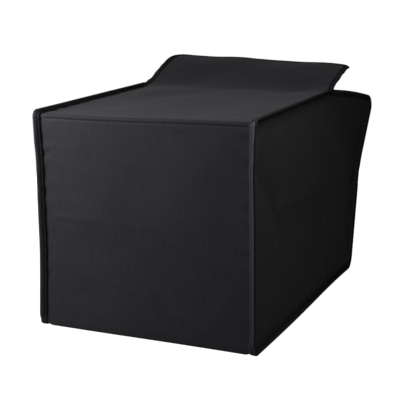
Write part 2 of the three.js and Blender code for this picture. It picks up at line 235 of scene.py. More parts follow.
def coated_cloth(colour):
    """Solution-dyed black polyester, plain woven and coated inside: matt, with a faint bloom at
    grazing angles. Its threads are 0.5 mm apart, drawn at 1.1 mm so that the weave shows, and
    the thicker threads here and there are drawn about 2 mm wide."""
    made, tree = start_material("coated polyester oxford, plain weave")
    flat = add(tree, "ShaderNodeAttribute", attribute_name="flat").outputs["Vector"]
    weave = thread_waves(tree, flat, 1.1 * MM)
    slubs = [
        add(tree, "ShaderNodeTexNoise", {
            "Vector": add(tree, "ShaderNodeMapping", {"Vector": flat, "Scale": scale})
            .outputs["Vector"],
            "Scale": 1.0,
            "Detail": 2.0,
        }).outputs["Fac"]
        for scale in ((450, 30, 1), (30, 450, 1))
    ]
    uneven = add(tree, "ShaderNodeMath", {0: slubs[0], 1: slubs[1]}, operation="ADD")
    shade = add(tree, "ShaderNodeMath", {0: uneven.outputs[0], 1: weave}, operation="ADD")
    tone = ranged(tree, shade.outputs[0], 0.7, 1.9, 0.45, 1.6)
    cloudy = add(tree, "ShaderNodeTexNoise", {"Vector": flat, "Scale": 9.0, "Detail": 4.0})
    cloud = ranged(tree, cloudy.outputs["Fac"], 0.3, 0.7, 0.9, 1.1)
    grain = add(tree, "ShaderNodeMath", {0: weave, 1: 0.6, 2: uneven.outputs[0]},
                operation="MULTIPLY_ADD")
    bump = add(tree, "ShaderNodeBump", {
        "Height": grain.outputs[0], "Strength": 0.5, "Distance": 0.3 * MM,
    })
    shader = add(tree, "ShaderNodeBsdfPrincipled", {
        "Base Color": shaded_colour(tree, colour, times(tree, tone, cloud)),
        "Roughness": ranged(tree, cloudy.outputs["Fac"], 0.3, 0.7, 0.6, 0.72),
        "Normal": bump.outputs["Normal"],
        "IOR": 1.45,
        "Specular IOR Level": 0.35,
        "Sheen Weight": 0.1,
        "Sheen Roughness": 0.5,
    })
    finish_material(tree, shader)
    return made


def woven_tape(colour):
    """Polypropylene binding tape: ribs across its length, 0.6 mm apart and drawn at 2.4 mm so
    that they show, with painted highlights on the ribs, a little darker along its fold, and painted
    shade in the dent of its stitches."""
    made, tree = start_material("polypropylene binding tape, ribbed weave")
    flat = add(tree, "ShaderNodeAttribute", attribute_name="flat").outputs["Vector"]
    ribs = add(tree, "ShaderNodeTexWave", {
        "Vector": flat, "Scale": WAVE / (2.4 * MM), "Distortion": 0.6, "Detail": 1.0,
    }, wave_type="BANDS", bands_direction="X", wave_profile="SIN")
    apart = add(tree, "ShaderNodeSeparateXYZ", {"Vector": flat})
    from_fold = add(tree, "ShaderNodeMath", {0: apart.outputs["Y"]}, operation="ABSOLUTE")
    from_row = add(tree, "ShaderNodeMath", {0: from_fold.outputs[0], 1: TAPE_W - STITCH_ROW},
                   operation="SUBTRACT")
    away = add(tree, "ShaderNodeMath", {0: from_row.outputs[0]}, operation="ABSOLUTE")
    patchy = add(tree, "ShaderNodeTexNoise", {"Vector": flat, "Scale": 450.0, "Detail": 2.0})
    # The ribs and patches are painted lighter and darker: painted highlights where the coarse weave
    # catches light, mixed with a random tone.
    speckled = add(tree, "ShaderNodeMath", {
        0: ribs.outputs["Fac"], 1: 0.35, 2: patchy.outputs["Fac"],
    }, operation="MULTIPLY_ADD")
    tone = times(
        tree,
        # a little darker along the fold
        ranged(tree, from_fold.outputs[0], 0.6 * MM, 2.2 * MM, 0.9, 1.05),
        ranged(tree, speckled.outputs[0], 0.4, 0.95, 0.5, 1.7),
        # painted shade: darker along the stitch row, where the dent of the stitches lies
        ranged(tree, away.outputs[0], 0.3 * MM, 1.2 * MM, 0.4, 1.0),
    )
    bump = add(tree, "ShaderNodeBump", {
        "Height": ribs.outputs["Fac"], "Strength": 0.9, "Distance": 0.35 * MM,
    })
    shader = add(tree, "ShaderNodeBsdfPrincipled", {
        "Base Color": shaded_colour(tree, colour, tone),
        "Roughness": ranged(tree, patchy.outputs["Fac"], 0.0, 1.0, 0.42, 0.62),
        "Normal": bump.outputs["Normal"],
        "IOR": 1.49,
        "Specular IOR Level": 0.4,
    })
    finish_material(tree, shader)
    return made


def sewing_thread(colour):
    """Twisted polyester thread: smoother than the cloth, so each stitch catches a little light."""
    made, tree = start_material("twisted polyester thread")
    place = add(tree, "ShaderNodeTexCoord").outputs["Object"]
    twist = add(tree, "ShaderNodeTexWave", {
        "Vector": place, "Scale": WAVE / (0.7 * MM), "Distortion": 0.5,
    }, wave_type="BANDS", bands_direction="DIAGONAL").outputs["Fac"]
    shader = add(tree, "ShaderNodeBsdfPrincipled", {
        "Base Color": shaded_colour(tree, colour, ranged(tree, twist, 0.0, 1.0, 0.8, 1.3)),
        "Roughness": ranged(tree, twist, 0.0, 1.0, 0.4, 0.55),
        "IOR": 1.5,
        "Specular IOR Level": 0.5,
    })
    finish_material(tree, shader)
    return made


def material(scene, kind):
    """The scene's material of a kind, made when it is first asked for."""
    makers = {"cloth": coated_cloth, "tape": woven_tape, "thread": sewing_thread}
    made = bpy.data.materials.get(scene.get("tent_" + kind, ""))
    if made is None:
        made = makers[kind](list(getattr(scene.tent_colours, kind)))
        scene["tent_" + kind] = made.name
    return made


# ---- the strip's middle line ---------------------------------------------------------------------
# b runs along the strip from the floor's free edge, under the tent, up the end wall, over the
# roof and out to the flap's free edge.

ARC = FOLD_R * math.pi / 2
FLOOR_TO = DEPTH - FOLD_R
WALL_FROM = FLOOR_TO + ARC
WALL_TO = WALL_FROM + HEIGHT - FLOOR_SEAM - 2 * FOLD_R
ROOF_FROM = WALL_TO + ARC
ROOF_TO = ROOF_FROM + ROOF_SEAM - FOLD_R
STRIP_LENGTH = ROOF_TO + FLAP_LENGTH
ROOF_SLOPE = math.atan2(ROOF_RISE, ROOF_SEAM - FOLD_R)
FLAP_TWIST = 0.16  # the left of the flap stands this much steeper than its middle
FLAP_STEPS = 24


def flap_slope(share, lift):
    """The flap leaves the roof at its slope, steepens, and droops level at its free edge."""
    return ROOF_SLOPE + lift * math.sin(math.pi * share ** 0.8)


def on_flap(run, lift):
    """y and z past the bend, and the slope, run metres out along the flap."""
    y, z = SLIT.y, SLIT.z
    step = run / FLAP_STEPS
    for i in range(FLAP_STEPS):
        slope = flap_slope((i + 0.5) * step / FLAP_LENGTH, lift)
        y += step * math.cos(slope)
        z += step * math.sin(slope)
    return y, z, flap_slope(run / FLAP_LENGTH, lift)


def on_fold(centre_y, centre_z, turn):
    """A point of a fold, and the way out, turn radians on from straight down."""
    out = (-math.sin(turn), -math.cos(turn))
    return centre_y + FOLD_R * out[0], centre_z + FOLD_R * out[1], out


def strip_line(b, lift):
    """y, z and the way out of the tent, (y, z), at b metres along the strip."""
    if b <= FLOOR_TO:
        return MOUTH - b, FLOOR_SEAM, (0, -1)
    if b <= WALL_FROM:
        return on_fold(FRONT + FOLD_R, FLOOR_SEAM + FOLD_R, (b - FLOOR_TO) / FOLD_R)
    if b <= WALL_TO:
        return FRONT, FLOOR_SEAM + FOLD_R + b - WALL_FROM, (-1, 0)
    if b <= ROOF_FROM:
        turn = math.pi / 2 + (b - WALL_TO) / FOLD_R
        return on_fold(FRONT + FOLD_R, HEIGHT - FOLD_R, turn)
    if b <= ROOF_TO:
        y = FRONT + FOLD_R + b - ROOF_FROM
        return y, HEIGHT + (b - ROOF_FROM) * math.tan(ROOF_SLOPE), (0, 1)
    y, z, slope = on_flap(b - ROOF_TO, lift)
    return y, z, (-math.sin(slope), math.cos(slope))


# How far soft cloth settles. The end wall's left seam stands to the right at its foot, both of its
# seams lean left higher up, and the right one bows out just above the floor.
FOOT_ASIDE = {-1: 4.3 * MM, 1: 0.1 * MM}
TOP_LEAN = {-1: 6.6 * MM, 1: 5.9 * MM}
RIGHT_BOW = 2.2 * MM
LEAN_REACH = 300 * MM  # back from the end wall
FLAP_ASIDE = -1 * MM
ROOF_SINK = 3.8 * MM  # on the left
KICK = 5 * MM  # of the end wall's foot towards the front, on the left


def settled(place):
    """Soft cloth leans and sags: the end wall's top leans left, the roof sinks on the left, and
    the end wall's left foot kicks out."""
    x, y, z = place
    back = y - FRONT
    high = min(1.0, max(0.0, z / HEIGHT))
    left = FOOT_ASIDE[-1] - TOP_LEAN[-1] * high * high
    right = FOOT_ASIDE[1] - TOP_LEAN[1] * high + RIGHT_BOW * smooth(z / 0.03)
    lean = lerp(left, right, 0.5 + 0.5 * x / HALF) * (1 - smooth(back / LEAN_REACH))
    flap = smooth((y - SLIT.y) / 0.05) * smooth((z - SLIT.z + 0.01) / 0.01)
    sink = 1 - smooth((x + 0.09) / 0.22)
    sunk = ROOF_SINK * sink * high ** 3 * (1 - 0.35 * smooth(back / 0.28)) * (1 - flap)
    kick = KICK * (1 - smooth(z / 0.12)) * smooth((0.12 - x) / 0.26) * (1 - smooth(back / 0.2))
    return Vector((x + lerp(lean, FLAP_ASIDE, flap), y - kick, z - sunk))


def slit_freedom(y):
    """0 where the roof is sewn to a side panel, 1 where both edges are free."""
    return smooth((y - SLIT.y + 0.2 * SLIT_TURN) / SLIT_TURN)


def floor_freedom(y):
    """The same for the floor's seams."""
    return smooth((y - FRONT - FLOOR_SEAM_END + 0.01) / 0.03)


def flange_lean(z, side):
    """A flange leans out between its two panels, lower along the roof, and lies out flat near
    the floor."""
    roof = smooth((z - HEIGHT + 0.03) / 0.025)
    return lerp(LEAN[side], ROOF_LEAN, roof) * smooth((z - FLOOR_SEAM - FOLD_R) / LAY_OUT)


def foot_lean(y):
    """Along the floor the flanges turn from flat on the ground at the end wall to nearly upright,
    standing on their edges, at the rear."""
    return FOOT_LEAN * smooth((y - FRONT - 0.005) / 0.38)


def foot_height(y):
    """Height of the floor's seam lines, which their standing flanges lift."""
    return FLOOR_SEAM + TAPE_W * math.sin(foot_lean(y))


# ---- cloth ---------------------------------------------------------------------------------------


def wave(a, b, seed):
    """Soft waves of about 90 and 35 mm, roughly from -1 to 1."""
    long = noise.noise(Vector((a / 0.09, b / 0.09, seed)))
    short = noise.noise(Vector((a / 0.035, b / 0.035, seed + 7)))
    return long + 0.3 * short


def gather(along, inwards, seed):
    """Gathers beside a seam, unevenly strong, which die away inwards."""
    turn = along / 0.0042 + 4 * noise.noise(Vector((along / 0.04, seed, 0)))
    strong = 0.5 + 1.5 * abs(noise.noise(Vector((along / 0.05, seed, 3))))
    return strong * math.sin(turn) * math.exp(-abs(inwards) / 0.012)


def floor_relief(b, y, inside, sizes):
    """How far the floor lies below its seams: flat on the ground, and a little lower under the
    tape of its rear edge."""
    rise = (foot_height(y) - FLOOR_SEAM) * smooth(b / (DEPTH - FLOOR_SEAM_END))
    drop = FLOOR_SEAM + rise - 0.5 * sizes.cloth
    relief = drop * smooth(inside / (6 * MM + 1.5 * rise)) - rise
    if b < TAPE_W + 6 * MM:
        relief -= 0.8 * MM * (1 - smooth((b - TAPE_W) / (6 * MM)))
    return relief


def wrap_relief(a, b, inside, sizes):
    """How far end wall, roof and flap stand out: soft waves, gathers beside the seams, the
    pinched fold with a dip below it, the end wall's packing crease and the sag of the roof."""
    fold = min(abs(b - ROOF_FROM), abs(b - WALL_FROM))
    relief = sizes.slack * wave(a, b, 1.5) * smooth(inside / 0.05) * smooth(fold / 0.05)
    relief += sizes.pucker * gather(b, inside, 1 if a > 0 else -1) * smooth(fold / 0.02)
    over = b - WALL_TO
    pinched = hump(over - 0.4 * ARC, 2.2 * MM) - 0.6 * hump(over + 1.6 * MM, 1.5 * MM)
    relief += sizes.crisp * pinched * smooth(inside / (8 * MM))
    pressed = max(0.0, 1 - abs(b - WALL_FROM - PACKED_AT) / (7 * MM))
    relief += 0.9 * MM * pressed * smooth((0.06 - a) / 0.2) * smooth(inside / 0.02)
    past = b - ROOF_FROM
    if past > 0:
        slanting = noise.noise(Vector((a / 0.07 - b / 0.09, b / 0.12, 21)))
        relief += 0.6 * sizes.slack * slanting * smooth(past / 0.05) * smooth(inside / 0.03)
        crown = 1 - (min(abs(a), HALF) / HALF) ** 2
        relief -= 3 * MM * crown * math.sin(math.pi * min(1.0, past / ROOF_SEAM))
    return relief


def strip_surface(a, b, sizes):
    """The place of the strip's flat point, a metres right of its middle and b metres along."""
    side = 1 if a > 0 else -1
    y, z, out = strip_line(b, sizes.flap_lift * (1 - FLAP_TWIST * a / HALF))
    outside = max(0.0, abs(a) - HALF)
    inside = max(0.0, HALF - abs(a))
    free = slit_freedom(y) if b > ROOF_FROM else 0.0
    lean = (foot_lean(y) if b < FLOOR_TO else flange_lean(z, side)) * (1 - free)
    layer = (0.5 * sizes.cloth + PLY_GAP) * (1 - free) * smooth(outside / (2 * MM))
    x = side * (abs(a) - outside + outside * math.cos(lean) - layer * math.sin(lean))
    high = outside * math.sin(lean) + layer * math.cos(lean)
    if b < FLOOR_TO:
        high += floor_relief(b, y, inside, sizes)
    else:
        down = smooth(inside / (6 * MM)) * (1 - smooth((b - FLOOR_TO) / 0.04))
        z -= (FLOOR_SEAM - 0.5 * sizes.cloth) * down
        high += wrap_relief(a, b, inside, sizes)
    return settled((x, y + high * out[0], z + high * out[1]))


def flap_half(b):
    """Half the width from bound edge to bound edge, narrowing from the slits on."""
    return lerp(HALF + TAPE_W, FLAP_HALF, smooth((b - ROOF_TO) / 0.04))


def strip_half_width(b):
    """Half the cut cloth's width: the flap has round corners, and the floor's tail is narrow."""
    if b < ROOF_TO:
        sewn = smooth((b - (DEPTH - FLOOR_SEAM_END)) / (3 * MM))
        return lerp(HALF - 6 * MM, HALF + LIP, sewn)
    past = b - (STRIP_LENGTH - FREE_R)
    full = lerp(HALF + LIP, flap_half(b) - MM, smooth((b - ROOF_TO) / 0.01))
    if past <= 0:
        return full
    r = FREE_R - MM
    return full - r + math.sqrt(max(0.0, r * r - min(past, r) ** 2))


def stops(*runs):
    """Places along a grid: runs of (from, to, about how far apart), joined end to end."""
    places = [runs[0][0]]
    for start, end, apart in runs:
        count = max(1, round((end - start) / apart))
        places += [lerp(start, end, (i + 1) / count) for i in range(count)]
    return places


def cloth_grid(columns, rows, place):
    """A sheet of flat cells moved to its place. The attribute flat keeps where each point was cut
    from, in metres."""
    bm = bmesh.new()
    flat = bm.verts.layers.float_vector.new("flat")
    across, along = len(columns) - 1, len(rows) - 1
    bmesh.ops.create_grid(bm, x_segments=across, y_segments=along, size=1)
    for vert in bm.verts:
        a = columns[round((vert.co.x + 1) / 2 * across)]
        b = rows[round((vert.co.y + 1) / 2 * along)]
        vert[flat] = Vector((a, b, 0))
        vert.co = place(a, b)
    return bm


def finished(name, bm, kind, scene):
    """An object from a bmesh, smooth shaded, with one of the tent's materials."""
    mesh = bpy.data.meshes.new(name)
    bm.to_mesh(mesh)
    bm.free()
    mesh.shade_smooth()
    mesh.materials.append(material(scene, kind))
    made = bpy.data.objects.new(name, mesh)
    scene.collection.objects.link(made)
    return made


def thicken(piece, thickness):
    solid = piece.modifiers.new("cloth thickness", "SOLIDIFY")
    solid.thickness = thickness
    solid.offset = 0
    return piece


# ---- side panels ---------------------------------------------------------------------------------

FREE_LINE_R = FREE_R - TAPE_W  # rounding of a free corner's inner line, under its tape
MOUTH_LINE = MOUTH - TAPE_W
CORNER_RISE = 5 * MM  # a corner flap's bound edge starts this far above the slit

# Packing folds: how far the side panel stands out at points of its plane, (y from the end wall,
# z, out), and the flat facets between them.
CREASE = (100 * MM, 155 * MM, -2 * MM)
CREASE_TOP = (0, 245 * MM, 0)
FRONT_TOP = (0, HEIGHT, 0)
FRONT_FOOT = (0, 0, 0)
SLIT_END = (ROOF_SEAM, SLIT.z, 0)
CORNER_TIP = (DEPTH, 276 * MM, 29 * MM)
MOUTH_MIDDLE = (DEPTH, 150 * MM, 8 * MM)
MOUTH_FOOT = (DEPTH, 0, 1 * MM)
CREASE_DEPTH = 7 * MM
FACETS = (
    (CREASE, FRONT_TOP, FRONT_FOOT),
    (CREASE, SLIT_END, FRONT_TOP),
    (CREASE, MOUTH_MIDDLE, SLIT_END),
    (SLIT_END, MOUTH_MIDDLE, CORNER_TIP),
    (CREASE, MOUTH_FOOT, MOUTH_MIDDLE),
    (CREASE, FRONT_FOOT, MOUTH_FOOT),
)


def on_facet(y, z, facet):
    """Shares of a facet's three corners at a point."""
    (ay, az, _), (by, bz, _), (cy, cz, _) = facet
    whole = (bz - cz) * (ay - cy) + (cy - by) * (az - cz)
    first = ((bz - cz) * (y - cy) + (cy - by) * (z - cz)) / whole
    second = ((cz - az) * (y - cy) + (ay - cy) * (z - cz)) / whole
    return first, second, 1 - first - second


def faceted(y, z):
    """How far the facets stand out at a point, from the facet that it is on or nearest to."""
    shares, facet = max(((on_facet(y, z, f), f) for f in FACETS), key=lambda found: min(found[0]))
    kept = [max(0.0, s) for s in shares]
    return sum(s * corner[2] for s, corner in zip(kept, facet)) / sum(kept)


def beside(y, z, start, end):
    """How far along a line from start to end a point lies, from 0 to 1, and how far to its upper
    rear side."""
    line = Vector((end[0] - start[0], end[1] - start[1]))
    offset = Vector((y - start[0], z - start[1]))
    across = Vector((-line.y, line.x)).normalized()
    return offset.dot(line) / line.length_squared, offset.dot(across)


def beside_fold(across, rear, front):
    """1 on a sharp fold, dying away over one length to its upper rear and another to its front."""
    return math.exp(-math.hypot(across, MM) / (rear if across > 0 else front))


def folds(y, z):
    """The packing folds' own relief: a crease down to the crease's point, and on from there to
    the mouth, fading towards the rear. Both are sharp and die away to their sides."""
    along, across = beside(y, z, CREASE_TOP, CREASE)
    ends = smooth(along / 0.25) * smooth((1.12 - along) / 0.12)
    first = ends * beside_fold(across, 24 * MM, 15 * MM)
    along, across = beside(y, z, CREASE, MOUTH_MIDDLE)
    ends = smooth((along + 0.04) / 0.04) * lerp(1.0, 0.4, smooth(along / 0.8))
    ends *= smooth((1 - along) / 0.12)
    second = ends * beside_fold(across, 26 * MM, 18 * MM)
    return -CREASE_DEPTH * max(first, second)


def stand_out(y, z):
    """The facets with their edges well rounded, and the relief of the packing folds."""
    radius = 22 * MM
    around = [
        faceted(y + radius * math.cos(i * math.pi / 4), z + radius * math.sin(i * math.pi / 4))
        for i in range(8)
    ]
    return (sum(around) + 2 * faceted(y, z)) / 10 + folds(y, z)


def side_lean(y, z, side):
    """How a side panel's edge leans: with its flange where it is sewn, and in the panel's own
    plane where it is free."""
    if z > HEIGHT / 2:
        free = slit_freedom(y)
        return lerp(flange_lean(z, side), math.pi / 2, free), free
    free = floor_freedom(y)
    lean = flange_lean(z, side)
    if y > FRONT + FOLD_R:
        lean = max(lean, foot_lean(y))
    return lerp(lean, math.pi / 2, free), free


def side_line(y, z):
    """Moves a point of the flat side rectangle to the panel's true height."""
    top_free, foot_free = slit_freedom(y), floor_freedom(y)
    roof = HEIGHT + (y - FRONT - FOLD_R) * math.tan(ROOF_SLOPE)
    past = y - SLIT.y
    edge = SLIT.z + CORNER_RISE - 0.05 * past - 0.45 * past * past - TAPE_W
    top = lerp(roof, edge, top_free) - HEIGHT
    foot = lerp(foot_height(y) - FLOOR_SEAM, TAPE_W - FLOOR_SEAM, foot_free)
    share = (z - FLOOR_SEAM) / (HEIGHT - FLOOR_SEAM)
    return z + lerp(foot, top, share)


def side_edge(y, z):
    """The nearest inner point of the rounded side rectangle, the way out, and how far out."""
    front = y < (FRONT + MOUTH) / 2
    foot = z < HEIGHT / 2
    r = FOLD_R if front else FREE_LINE_R
    centre_y = FRONT + r if front else MOUTH_LINE - r
    centre_z = FLOOR_SEAM + r if foot else HEIGHT - r
    dy = (centre_y - y) if front else (y - centre_y)
    dz = (centre_z - z) if foot else (z - centre_z)
    way = Vector((-1 if front else 1, -1 if foot else 1))
    if dy > 0 and dz > 0:
        far = max(dy, dz)
        out = Vector((dy * way.x, dz * way.y)).normalized()
        held = min(far, r)
        return centre_y + out.x * held, centre_z + out.y * held, out, far - held
    if dy > r:
        return centre_y + way.x * r, z, Vector((way.x, 0)), dy - r
    if dz > r:
        return y, centre_z + way.y * r, Vector((0, way.y)), dz - r
    return y, z, Vector((0, 0)), 0.0


def side_frame(y, z, out, side):
    """A place on the side panel's inner edge line, and its flange's direction there."""
    lean, free = side_lean(y, z, side)
    level = side_line(y, z)
    flange = Vector((side * math.cos(lean), out.x * math.sin(lean), out.y * math.sin(lean)))
    base = settled((side * (HALF + stand_out(y - FRONT, level)), y, level))
    return base, flange, lean, free


def hem_ruck(y, z, side):
    """How far the cloth stands out in uneven rucks beside the tape of its rear edge."""
    uneven = max(0.0, 0.45 + noise.noise(Vector((z / 0.028, side, 9))))
    return 1.6 * MM * uneven * hump(MOUTH_LINE - y - 13 * MM, 5 * MM) * smooth(z / 0.03)


def side_surface(y, z, side, sizes):
    """The place of the side panel's flat point."""
    y, z, out, outside = side_edge(y, z)
    base, flange, lean, free = side_frame(y, z, out, side)
    inside = min(y - FRONT, z - FLOOR_SEAM, HEIGHT - z, MOUTH_LINE - y)
    calm = smooth(inside / 0.035)
    base.x += side * sizes.slack * 0.7 * wave(y, z, 4.5 * side) * calm
    base.x += side * sizes.pucker * gather(y + z, inside, 3 * side) * (1 - free)
    base.x += side * hem_ruck(y, z, side)
    layer = (0.5 * sizes.cloth + PLY_GAP) * (1 - free) * smooth(outside / (2 * MM))
    inwards = Vector((side * math.sin(lean), -out.x * math.cos(lean), -out.y * math.cos(lean)))
    return base + flange * outside + inwards * layer


# ---- tapes and stitches --------------------------------------------------------------------------


def stations(path):
    """Frames along a path of (place, way out of the cloth): x along, y out, z across the tape."""
    found = []
    travelled = 0.0
    for i, (place, out) in enumerate(path):
        before = path[max(i - 1, 0)][0]
        after = path[min(i + 1, len(path) - 1)][0]
        along = (after - before).normalized()
        across = along.cross(out).normalized()
        out = across.cross(along)
        travelled += (place - before).length
        axes = Matrix((along, out, across)).transposed().to_4x4()
        found.append((Matrix.Translation(place) @ axes, travelled))
    return found


def tube(rings, flats):
    """A closed tube through rings of places, capped at both ends. flats holds each point's
    attribute flat."""
    around, along = len(rings[0]), len(rings) - 1
    bm = bmesh.new()
    flat = bm.verts.layers.float_vector.new("flat")
    bmesh.ops.create_grid(bm, x_segments=around, y_segments=along, size=1)
    for vert in bm.verts:
        i = round((vert.co.x + 1) / 2 * around) % around
        k = round((vert.co.y + 1) / 2 * along)
        vert[flat] = flats[k][i]
        vert.co = rings[k][i]
    bmesh.ops.remove_doubles(bm, verts=bm.verts, dist=MM / 1000)
    ends = [edge for edge in bm.edges if len(edge.link_faces) == 1]
    bmesh.ops.holes_fill(bm, edges=ends, sides=0)
    bmesh.ops.recalc_face_normals(bm, faces=bm.faces)
    return bm


def tape_section(leg, thick, start, row):
    """The folded tape's closed section, as (out, across): down one leg with a dent under its
    stitches, round the fold, back up the other, and the same inside."""
    turns = [math.radians(90 - 22.5 * i) for i in range(9)]
    fold_r = 1.9 * MM
    ends = TAPE_W - fold_r

    def layer(swell):
        across = leg + swell
        round_r = fold_r + swell - thick / 2
        fold = [
            (ends + round_r * math.cos(t), (across + 0.2 * MM) * math.sin(t))
            for t in turns
        ]
        half = [
            (start, across),
            (row - 0.9 * MM, across + 0.1 * MM),
            (row, across - 0.3 * MM),
            (row + 0.9 * MM, across + 0.1 * MM),
            (lerp(row, ends, 0.6), across + 0.25 * MM),
        ]
        return half + fold + [(out, -far) for out, far in reversed(half)]

    return layer(thick / 2) + layer(-thick / 2)[::-1]


def binding(path, leg, thick, start=1.2 * MM, row=STITCH_ROW):
    """Folded tape drawn out along a path."""
    section = tape_section(leg, thick, start, row)
    frames = stations(path)
    rings = [[place @ Vector((0, out, across)) for out, across in section] for place, _ in frames]
    flats = [
        [(travelled, math.copysign(TAPE_W - out + abs(across) / 2, across), 0)
         for out, across in section]
        for _, travelled in frames
    ]
    return tube(rings, flats)


# The sewing thread: half its width and half its thickness, and how far the middle of its deepest
# and highest places lies below the tape's face.
THREAD_HALF = (0.3 * MM, 0.24 * MM)
THREAD_DEEP = 0.6 * MM
THREAD_SHALLOW = 0.05 * MM


def stitching(path, leg, thick, pitch, row=STITCH_ROW):
    """Lockstitch along both faces of a bound edge: a thread that rises out of the tape and dives
    back into it once a stitch."""
    wide, high = THREAD_HALF
    section = [
        (wide * math.cos(i * math.pi / 3), high * math.sin(i * math.pi / 3)) for i in range(6)
    ]
    frames = stations(even(path, pitch / 6))
    joined = bmesh.new()
    for face in (1, -1):
        rings, flats = [], []
        for place, travelled in frames:
            shown = abs(math.sin(math.pi * travelled / pitch))
            below = lerp(THREAD_DEEP, THREAD_SHALLOW, shown ** 0.7)
            middle = face * (leg + thick / 2 - below)
            rings.append([place @ Vector((0, row + c, middle + d)) for c, d in section])
            flats.append([(travelled, face, 0)] * len(section))
        thread = tube(rings, flats)
        made = bpy.data.meshes.new("thread")
        thread.to_mesh(made)
        thread.free()
        joined.from_mesh(made)
        bpy.data.meshes.remove(made)
    return joined


def even(path, apart):
    """The same path with places the given distance apart."""
    made = [path[0]]
    need = apart
    for (start, out_a), (end, out_b) in zip(path, path[1:]):
        gap = (end - start).length
        walked = 0.0
        while gap - walked >= need:
            walked += need
            share = walked / gap
            made.append((start.lerp(end, share), out_a.lerp(out_b, share).normalized()))
            need = apart
        need -= gap - walked
    return made


def side_path(side, corners):
    """Places and flange directions along the side's inner edge line, through the given runs."""
    return [side_frame(y, z, Vector(out), side)[:2] for y, z, out in corners]


def run(start, end, out, apart=2 * MM):
    """Points from start to end, both (y, z), with one way out."""
    count = max(1, round(math.dist(start, end) / apart))
    return [
        (lerp(start[0], end[0], i / count), lerp(start[1], end[1], i / count), out)
        for i in range(count + 1)
    ]


def turn(centre, r, start, end, steps=10):
    """Points round a corner, angles from +y towards +z in degrees."""
    angles = [math.radians(lerp(start, end, i / steps)) for i in range(1, steps)]
    return [
        (centre[0] + r * math.cos(t), centre[1] + r * math.sin(t), (math.cos(t), math.sin(t)))
        for t in angles
    ]


def seam_corners():
    """Round a side panel's sewn edges, from the slit forwards, down and back along the floor."""
    top, foot = HEIGHT, FLOOR_SEAM
    near = FRONT + FOLD_R
    return [
        *run((SLIT.y, top), (near, top), (0, 1)),
        *turn((near, top - FOLD_R), FOLD_R, 90, 180),
        *run((FRONT, top - FOLD_R), (FRONT, foot + FOLD_R), (-1, 0)),
        *turn((near, foot + FOLD_R), FOLD_R, 180, 270),
        *run((near, foot), (FRONT + FLOOR_SEAM_END, foot), (0, -1)),
    ]


def free_corners():
    """Round a side panel's free edges, from the floor seam's end up the mouth to the slit."""
    r = FREE_LINE_R
    rear = MOUTH_LINE - r
    return [
        *run((FRONT + FLOOR_SEAM_END + 1.5 * MM, FLOOR_SEAM), (rear, FLOOR_SEAM), (0, -1)),
        *turn((rear, FLOOR_SEAM + r), r, -90, 0),
        *run((MOUTH_LINE, FLOOR_SEAM + r), (MOUTH_LINE, HEIGHT - r), (1, 0)),
        *turn((rear, HEIGHT - r), r, 0, 90),
        *run((rear, HEIGHT), (SLIT.y + 5 * MM, HEIGHT), (0, 1)),
    ]


def flap_path(sizes):
    """Round the flap's free edge, from the right slit to the left one."""
    half = FLAP_HALF
    straight = STRIP_LENGTH - FREE_R
    outline = [
        *run((half, ROOF_TO + 3 * MM), (half, straight), (1, 0)),
        *turn((half - FREE_R, straight), FREE_R, 0, 90),
        *run((half - FREE_R, STRIP_LENGTH), (FREE_R - half, STRIP_LENGTH), (0, 1)),
        *turn((FREE_R - half, straight), FREE_R, 90, 180),
        *run((-half, straight), (-half, ROOF_TO + 3 * MM), (-1, 0)),
    ]
    path = []
    for a, b, (out_a, out_b) in outline:
        a += math.copysign(flap_half(b) - half, a)
        inner = strip_surface(a - out_a * TAPE_W, b - out_b * TAPE_W, sizes)
        outer = strip_surface(a - out_a * MM, b - out_b * MM, sizes)
        path.append((inner, (outer - inner).normalized()))
    return path


def floor_edge_path(sizes):
    """Across the floor's free rear edge."""
    half = HALF - 7 * MM
    count = 60
    spots = [lerp(-half, half, i / count) for i in range(count + 1)]
    return [(strip_surface(a, TAPE_W, sizes), Vector((0, 1, 0))) for a in spots]


# ---- making tape and stitch pieces, and baking pieces where they stand ---------------------------


def bend_with_flap(piece):
    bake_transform(piece)


def bend_with_corner(piece):
    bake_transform(piece)


def stitch_row(name, scene, path, leg, sizes):
    bm = stitching(path, leg, sizes.tape, sizes.stitch)
    piece = finished(name, bm, "thread", scene)
    return piece


def tape_piece(name, scene, path, leg, sizes, nodes):
    piece = finished(name, binding(path, leg, sizes.tape), "tape", scene)
    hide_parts(*nodes)
    return piece


def seam_leg(sizes):
    """From the middle of a seam's two layers of cloth to the middle of one leg of its tape."""
    return sizes.cloth + 0.5 * MM + sizes.tape / 2


def edge_leg(sizes):
    """The same for one layer of cloth at a free edge."""
    return sizes.cloth / 2 + 0.3 * MM + sizes.tape / 2


# ---- operators -----------------------------------------------------------------------------------


class TENT_OT_wrap(bpy.types.Operator):
    """The long strip of cloth: floor, end wall, roof and roof flap in one piece"""

    bl_idname = "tent.wrap"
    bl_label = "Wrap cloth"

    def execute(self, context):
        scene = context.scene
        sizes = scene.tent_sizes
        full = HALF + LIP
        columns = stops(
            (-full, -HALF, 2.9 * MM), (-HALF, -HALF + 24 * MM, 3 * MM),
            (-HALF + 24 * MM, HALF - 24 * MM, 5 * MM),
            (HALF - 24 * MM, HALF, 3 * MM), (HALF, full, 2.9 * MM),
        )
        free = STRIP_LENGTH - MM
        rows = stops(
            (MM, FLOOR_TO, 5 * MM), (FLOOR_TO, WALL_FROM, MM),
            (WALL_FROM, WALL_TO - 6 * MM, 3.2 * MM), (WALL_TO - 6 * MM, ROOF_FROM, 0.8 * MM),
            (ROOF_FROM, free - FREE_R, 3.5 * MM),
            (free - FREE_R, free - 6 * MM, 3 * MM), (free - 6 * MM, free, MM),
        )

        def place(a, b):
            return strip_surface(a * strip_half_width(b) / full, b, sizes)

        piece = finished("wrap_cloth", cloth_grid(columns, rows, place), "cloth", scene)
        thicken(piece, sizes.cloth)
        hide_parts("floor_panel", "front_wall", "roof_panel", "roof_flap")
        bend_with_flap(piece)
        return {"FINISHED"}


